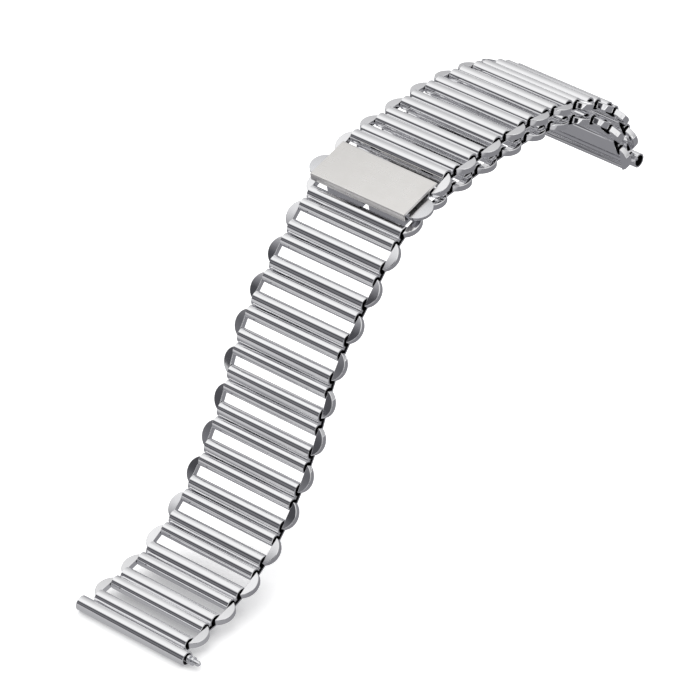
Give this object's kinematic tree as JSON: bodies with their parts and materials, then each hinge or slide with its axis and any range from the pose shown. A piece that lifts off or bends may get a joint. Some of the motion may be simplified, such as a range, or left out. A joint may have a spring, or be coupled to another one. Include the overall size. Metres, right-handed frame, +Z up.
{
  "type": "watch bracelet",
  "caption": "Metal watch bracelet of stamped rung rings hinged on folded connectors, with a hinged-cover clasp that grips the long strap and sprung bars in the end tubes.",
  "frame": {"origin": "middle of the connector of the long strap that the clasp holds", "axes": "+X across the strap, +Y along it from the front end to the back end, +Z up"},
  "size_m": [0.0249, 0.1053, 0.0506],
  "materials": {
    "ring_steel": "polished",
    "connector_steel": "polished",
    "strap_steel": "polished",
    "cover_steel": "satin",
    "clasp_steel": "polished",
    "bar_steel": "polished",
    "spring_steel": "satin"
  },
  "bodies": {
    "clasp": {"connector_13": "connector_steel", "clasp_base": "clasp_steel", "clasp_claws": "clasp_steel"},
    "cover": {"clasp_cover": "cover_steel"},
    "ring_13": {"ring_13": "ring_steel"},
    "connector_12": {"connector_12": "connector_steel"},
    "ring_12": {"ring_12": "ring_steel"},
    "connector_11": {"connector_11": "connector_steel"},
    "ring_11": {"ring_11": "ring_steel"},
    "connector_10": {"connector_10": "connector_steel"},
    "ring_10": {"ring_10": "ring_steel"},
    "connector_9": {"connector_9": "connector_steel"},
    "ring_9": {"ring_9": "ring_steel"},
    "connector_8": {"connector_8": "connector_steel"},
    "ring_8": {"ring_8": "ring_steel"},
    "connector_7": {"connector_7": "connector_steel"},
    "ring_7": {"ring_7": "ring_steel"},
    "connector_6": {"connector_6": "connector_steel"},
    "ring_6": {"ring_6": "ring_steel"},
    "connector_5": {"connector_5": "connector_steel"},
    "ring_5": {"ring_5": "ring_steel"},
    "connector_4": {"connector_4": "connector_steel"},
    "ring_4": {"ring_4": "ring_steel"},
    "connector_3": {"connector_3": "connector_steel"},
    "ring_3": {"ring_3": "ring_steel"},
    "connector_2": {"connector_2": "connector_steel"},
    "ring_2": {"ring_2": "ring_steel"},
    "connector_1": {"connector_1": "connector_steel"},
    "ring_1": {"ring_1": "ring_steel"},
    "front_end": {"front_end": "connector_steel"},
    "tail_14": {"tail_14": "strap_steel"},
    "tail_15": {"tail_15": "strap_steel"},
    "tail_16": {"tail_16": "strap_steel"},
    "tail_17": {"tail_17": "strap_steel"},
    "tail_18": {"tail_18": "strap_steel"},
    "tail_19": {"tail_19": "strap_steel"},
    "tail_20": {"tail_20": "strap_steel"},
    "tail_21": {"tail_21": "strap_steel"},
    "tail_22": {"tail_22": "strap_steel"},
    "ring_23": {"ring_23": "ring_steel"},
    "short_1": {"short_1": "strap_steel"},
    "short_2": {"short_2": "strap_steel"},
    "short_3": {"short_3": "strap_steel"},
    "short_4": {"short_4": "strap_steel"},
    "short_5": {"short_5": "strap_steel"},
    "short_6": {"short_6": "strap_steel"},
    "short_7": {"short_7": "strap_steel"},
    "short_8": {"short_8": "strap_steel"},
    "short_9": {"short_9": "strap_steel"},
    "short_ring_10": {"short_ring_10": "ring_steel"},
    "back_end": {"back_end": "connector_steel"},
    "front_barrel": {"front_barrel": "bar_steel", "front_spring": "spring_steel"},
    "front_left_tip": {"front_left_tip": "bar_steel"},
    "front_right_tip": {"front_right_tip": "bar_steel"},
    "back_barrel": {"back_barrel": "bar_steel", "back_spring": "spring_steel"},
    "back_left_tip": {"back_left_tip": "bar_steel"},
    "back_right_tip": {"back_right_tip": "bar_steel"}
  },
  "joints": [
    {"name": "cover_hinge", "type": "hinge", "parent": "clasp", "child": "cover", "pos_m": [0, 0.00223, 0.0019], "axis": [-1, 0, 0], "range_deg": [0, 95]},
    {"name": "ring_13_hinge", "type": "hinge", "parent": "clasp", "child": "ring_13", "pos_m": [0, -0.00122, -0.00028], "axis": [1, 0, 0], "range_deg": [-19, 21]},
    {"name": "connector_12_hinge", "type": "hinge", "parent": "ring_13", "child": "connector_12", "pos_m": [0, -0.00414, -0.00146], "axis": [-1, 0, 0], "range_deg": [-20, 40]},
    {"name": "ring_12_hinge", "type": "hinge", "parent": "connector_12", "child": "ring_12", "pos_m": [0, -0.00626, -0.00279], "axis": [1, 0, 0], "range_deg": [-39, 21]},
    {"name": "connector_11_hinge", "type": "hinge", "parent": "ring_12", "child": "connector_11", "pos_m": [0, -0.00864, -0.00485], "axis": [-1, 0, 0], "range_deg": [-26, 34]},
    {"name": "ring_11_hinge", "type": "hinge", "parent": "connector_11", "child": "ring_11", "pos_m": [0, -0.0104, -0.00662], "axis": [1, 0, 0], "range_deg": [-30, 30]},
    {"name": "connector_10_hinge", "type": "hinge", "parent": "ring_11", "child": "connector_10", "pos_m": [0, -0.01263, -0.00885], "axis": [-1, 0, 0], "range_deg": [-31, 29]},
    {"name": "ring_10_hinge", "type": "hinge", "parent": "connector_10", "child": "ring_10", "pos_m": [0, -0.01443, -0.01058], "axis": [1, 0, 0], "range_deg": [-31, 29]},
    {"name": "connector_9_hinge", "type": "hinge", "parent": "ring_10", "child": "connector_9", "pos_m": [0, -0.01666, -0.01281], "axis": [-1, 0, 0], "range_deg": [-25, 35]},
    {"name": "ring_9_hinge", "type": "hinge", "parent": "connector_9", "child": "ring_9", "pos_m": [0, -0.01826, -0.01473], "axis": [1, 0, 0], "range_deg": [-37, 23]},
    {"name": "connector_8_hinge", "type": "hinge", "parent": "ring_9", "child": "connector_8", "pos_m": [0, -0.01998, -0.01737], "axis": [-1, 0, 0], "range_deg": [-24, 36]},
    {"name": "ring_8_hinge", "type": "hinge", "parent": "connector_8", "child": "ring_8", "pos_m": [0, -0.02111, -0.0196], "axis": [1, 0, 0], "range_deg": [-34, 26]},
    {"name": "connector_7_hinge", "type": "hinge", "parent": "ring_8", "child": "connector_7", "pos_m": [0, -0.02235, -0.0225], "axis": [-1, 0, 0], "range_deg": [-30, 30]},
    {"name": "ring_7_hinge", "type": "hinge", "parent": "connector_7", "child": "ring_7", "pos_m": [0, -0.02332, -0.0248], "axis": [1, 0, 0], "range_deg": [-27, 33]},
    {"name": "connector_6_hinge", "type": "hinge", "parent": "ring_7", "child": "connector_6", "pos_m": [0, -0.0247, -0.02763], "axis": [-1, 0, 0], "range_deg": [-34, 26]},
    {"name": "ring_6_hinge", "type": "hinge", "parent": "connector_6", "child": "ring_6", "pos_m": [0, -0.02595, -0.02979], "axis": [1, 0, 0], "range_deg": [-27, 33]},
    {"name": "connector_5_hinge", "type": "hinge", "parent": "ring_6", "child": "connector_5", "pos_m": [0, -0.02767, -0.03244], "axis": [-1, 0, 0], "range_deg": [-34, 26]},
    {"name": "ring_5_hinge", "type": "hinge", "parent": "connector_5", "child": "ring_5", "pos_m": [0, -0.02917, -0.03443], "axis": [1, 0, 0], "range_deg": [-26, 34]},
    {"name": "connector_4_hinge", "type": "hinge", "parent": "ring_5", "child": "connector_4", "pos_m": [0, -0.03124, -0.03681], "axis": [-1, 0, 0], "range_deg": [-35, 25]},
    {"name": "ring_4_hinge", "type": "hinge", "parent": "connector_4", "child": "ring_4", "pos_m": [0, -0.03304, -0.03855], "axis": [1, 0, 0], "range_deg": [-24, 36]},
    {"name": "connector_3_hinge", "type": "hinge", "parent": "ring_4", "child": "connector_3", "pos_m": [0, -0.03552, -0.04049], "axis": [-1, 0, 0], "range_deg": [-36, 24]},
    {"name": "ring_3_hinge", "type": "hinge", "parent": "connector_3", "child": "ring_3", "pos_m": [0, -0.03764, -0.04181], "axis": [1, 0, 0], "range_deg": [-24, 36]},
    {"name": "connector_2_hinge", "type": "hinge", "parent": "ring_3", "child": "connector_2", "pos_m": [0, -0.04047, -0.04319], "axis": [-1, 0, 0], "range_deg": [-38, 22]},
    {"name": "ring_2_hinge", "type": "hinge", "parent": "connector_2", "child": "ring_2", "pos_m": [0, -0.04285, -0.04396], "axis": [1, 0, 0], "range_deg": [-22, 38]},
    {"name": "connector_1_hinge", "type": "hinge", "parent": "ring_2", "child": "connector_1", "pos_m": [0, -0.04595, -0.04451], "axis": [-1, 0, 0], "range_deg": [-36, 24]},
    {"name": "ring_1_hinge", "type": "hinge", "parent": "connector_1", "child": "ring_1", "pos_m": [0, -0.04845, -0.04468], "axis": [1, 0, 0], "range_deg": [-33, 27]},
    {"name": "front_end_hinge", "type": "hinge", "parent": "ring_1", "child": "front_end", "pos_m": [0, -0.05157, -0.04507], "axis": [-1, 0, 0], "range_deg": [-23, 37]},
    {"name": "tail_14_hinge", "type": "hinge", "parent": "clasp", "child": "tail_14", "pos_m": [0, 0.00122, 0.00028], "axis": [-1, 0, 0], "range_deg": [0, 15]},
    {"name": "tail_15_hinge", "type": "hinge", "parent": "tail_14", "child": "tail_15", "pos_m": [0, 0.00686, 0.0005], "axis": [-1, 0, 0], "range_deg": [0, 15]},
    {"name": "tail_16_hinge", "type": "hinge", "parent": "tail_15", "child": "tail_16", "pos_m": [0, 0.01251, 0.00054], "axis": [-1, 0, 0], "range_deg": [0, 15]},
    {"name": "tail_17_hinge", "type": "hinge", "parent": "tail_16", "child": "tail_17", "pos_m": [0, 0.01816, 0.0006], "axis": [-1, 0, 0], "range_deg": [0, 15]},
    {"name": "tail_18_hinge", "type": "hinge", "parent": "tail_17", "child": "tail_18", "pos_m": [0, 0.0238, 0.00027], "axis": [-1, 0, 0], "range_deg": [0, 15]},
    {"name": "tail_19_hinge", "type": "hinge", "parent": "tail_18", "child": "tail_19", "pos_m": [0, 0.02936, -0.0007], "axis": [-1, 0, 0], "range_deg": [0, 15]},
    {"name": "tail_20_hinge", "type": "hinge", "parent": "tail_19", "child": "tail_20", "pos_m": [0, 0.03476, -0.00237], "axis": [-1, 0, 0], "range_deg": [0, 15]},
    {"name": "tail_21_hinge", "type": "hinge", "parent": "tail_20", "child": "tail_21", "pos_m": [0, 0.03973, -0.00502], "axis": [-1, 0, 0], "range_deg": [0, 15]},
    {"name": "tail_22_hinge", "type": "hinge", "parent": "tail_21", "child": "tail_22", "pos_m": [0, 0.04388, -0.00884], "axis": [-1, 0, 0], "range_deg": [0, 15]},
    {"name": "ring_23_hinge", "type": "hinge", "parent": "tail_22", "child": "ring_23", "pos_m": [0, 0.04658, -0.01378], "axis": [-1, 0, 0], "range_deg": [0, 15]},
    {"name": "short_1_hinge", "type": "hinge", "parent": "clasp", "child": "short_1", "pos_m": [0, 0.00223, 0.0019], "axis": [1, 0, 0], "range_deg": [0, 25]},
    {"name": "short_2_hinge", "type": "hinge", "parent": "short_1", "child": "short_2", "pos_m": [0, 0.00769, 0.00289], "axis": [1, 0, 0], "range_deg": [0, 25]},
    {"name": "short_3_hinge", "type": "hinge", "parent": "short_2", "child": "short_3", "pos_m": [0, 0.01334, 0.00284], "axis": [1, 0, 0], "range_deg": [0, 25]},
    {"name": "short_4_hinge", "type": "hinge", "parent": "short_3", "child": "short_4", "pos_m": [0, 0.01899, 0.00289], "axis": [1, 0, 0], "range_deg": [0, 25]},
    {"name": "short_5_hinge", "type": "hinge", "parent": "short_4", "child": "short_5", "pos_m": [0, 0.02462, 0.00246], "axis": [1, 0, 0], "range_deg": [0, 25]},
    {"name": "short_6_hinge", "type": "hinge", "parent": "short_5", "child": "short_6", "pos_m": [0, 0.03018, 0.00145], "axis": [1, 0, 0], "range_deg": [0, 25]},
    {"name": "short_7_hinge", "type": "hinge", "parent": "short_6", "child": "short_7", "pos_m": [0, 0.03557, -0.00022], "axis": [1, 0, 0], "range_deg": [0, 25]},
    {"name": "short_8_hinge", "type": "hinge", "parent": "short_7", "child": "short_8", "pos_m": [0, 0.04059, -0.0028], "axis": [1, 0, 0], "range_deg": [0, 25]},
    {"name": "short_9_hinge", "type": "hinge", "parent": "short_8", "child": "short_9", "pos_m": [0, 0.04496, -0.00636], "axis": [1, 0, 0], "range_deg": [0, 25]},
    {"name": "short_ring_10_hinge", "type": "hinge", "parent": "short_9", "child": "short_ring_10", "pos_m": [0, 0.04795, -0.01113], "axis": [1, 0, 0], "range_deg": [0, 25]},
    {"name": "back_end_hinge", "type": "hinge", "parent": "short_ring_10", "child": "back_end", "pos_m": [0, 0.04892, -0.01413], "axis": [1, 0, 0], "range_deg": [0, 25]},
    {"name": "front_bar_slide", "type": "slide", "parent": "front_end", "child": "front_barrel", "axis": [1, 0, 0], "range_m": [-0.0029, 0.0011]},
    {"name": "front_left_tip_slide", "type": "slide", "parent": "front_barrel", "child": "front_left_tip", "axis": [1, 0, 0], "range_m": [0, 0.0012], "stiffness_N_per_m": 800, "springref_m": -0.0006, "deforming": ["front_spring"]},
    {"name": "front_right_tip_slide", "type": "slide", "parent": "front_barrel", "child": "front_right_tip", "axis": [-1, 0, 0], "range_m": [0, 0.0012], "stiffness_N_per_m": 800, "springref_m": -0.0006, "deforming": ["front_spring"]},
    {"name": "back_bar_slide", "type": "slide", "parent": "back_end", "child": "back_barrel", "axis": [1, 0, 0], "range_m": [-0.0004, 0.0036]},
    {"name": "back_left_tip_slide", "type": "slide", "parent": "back_barrel", "child": "back_left_tip", "axis": [1, 0, 0], "range_m": [0, 0.0012], "stiffness_N_per_m": 800, "springref_m": -0.0006, "deforming": ["back_spring"]},
    {"name": "back_right_tip_slide", "type": "slide", "parent": "back_barrel", "child": "back_right_tip", "axis": [-1, 0, 0], "range_m": [0, 0.0012], "stiffness_N_per_m": 800, "springref_m": -0.0006, "deforming": ["back_spring"]}
  ]
}
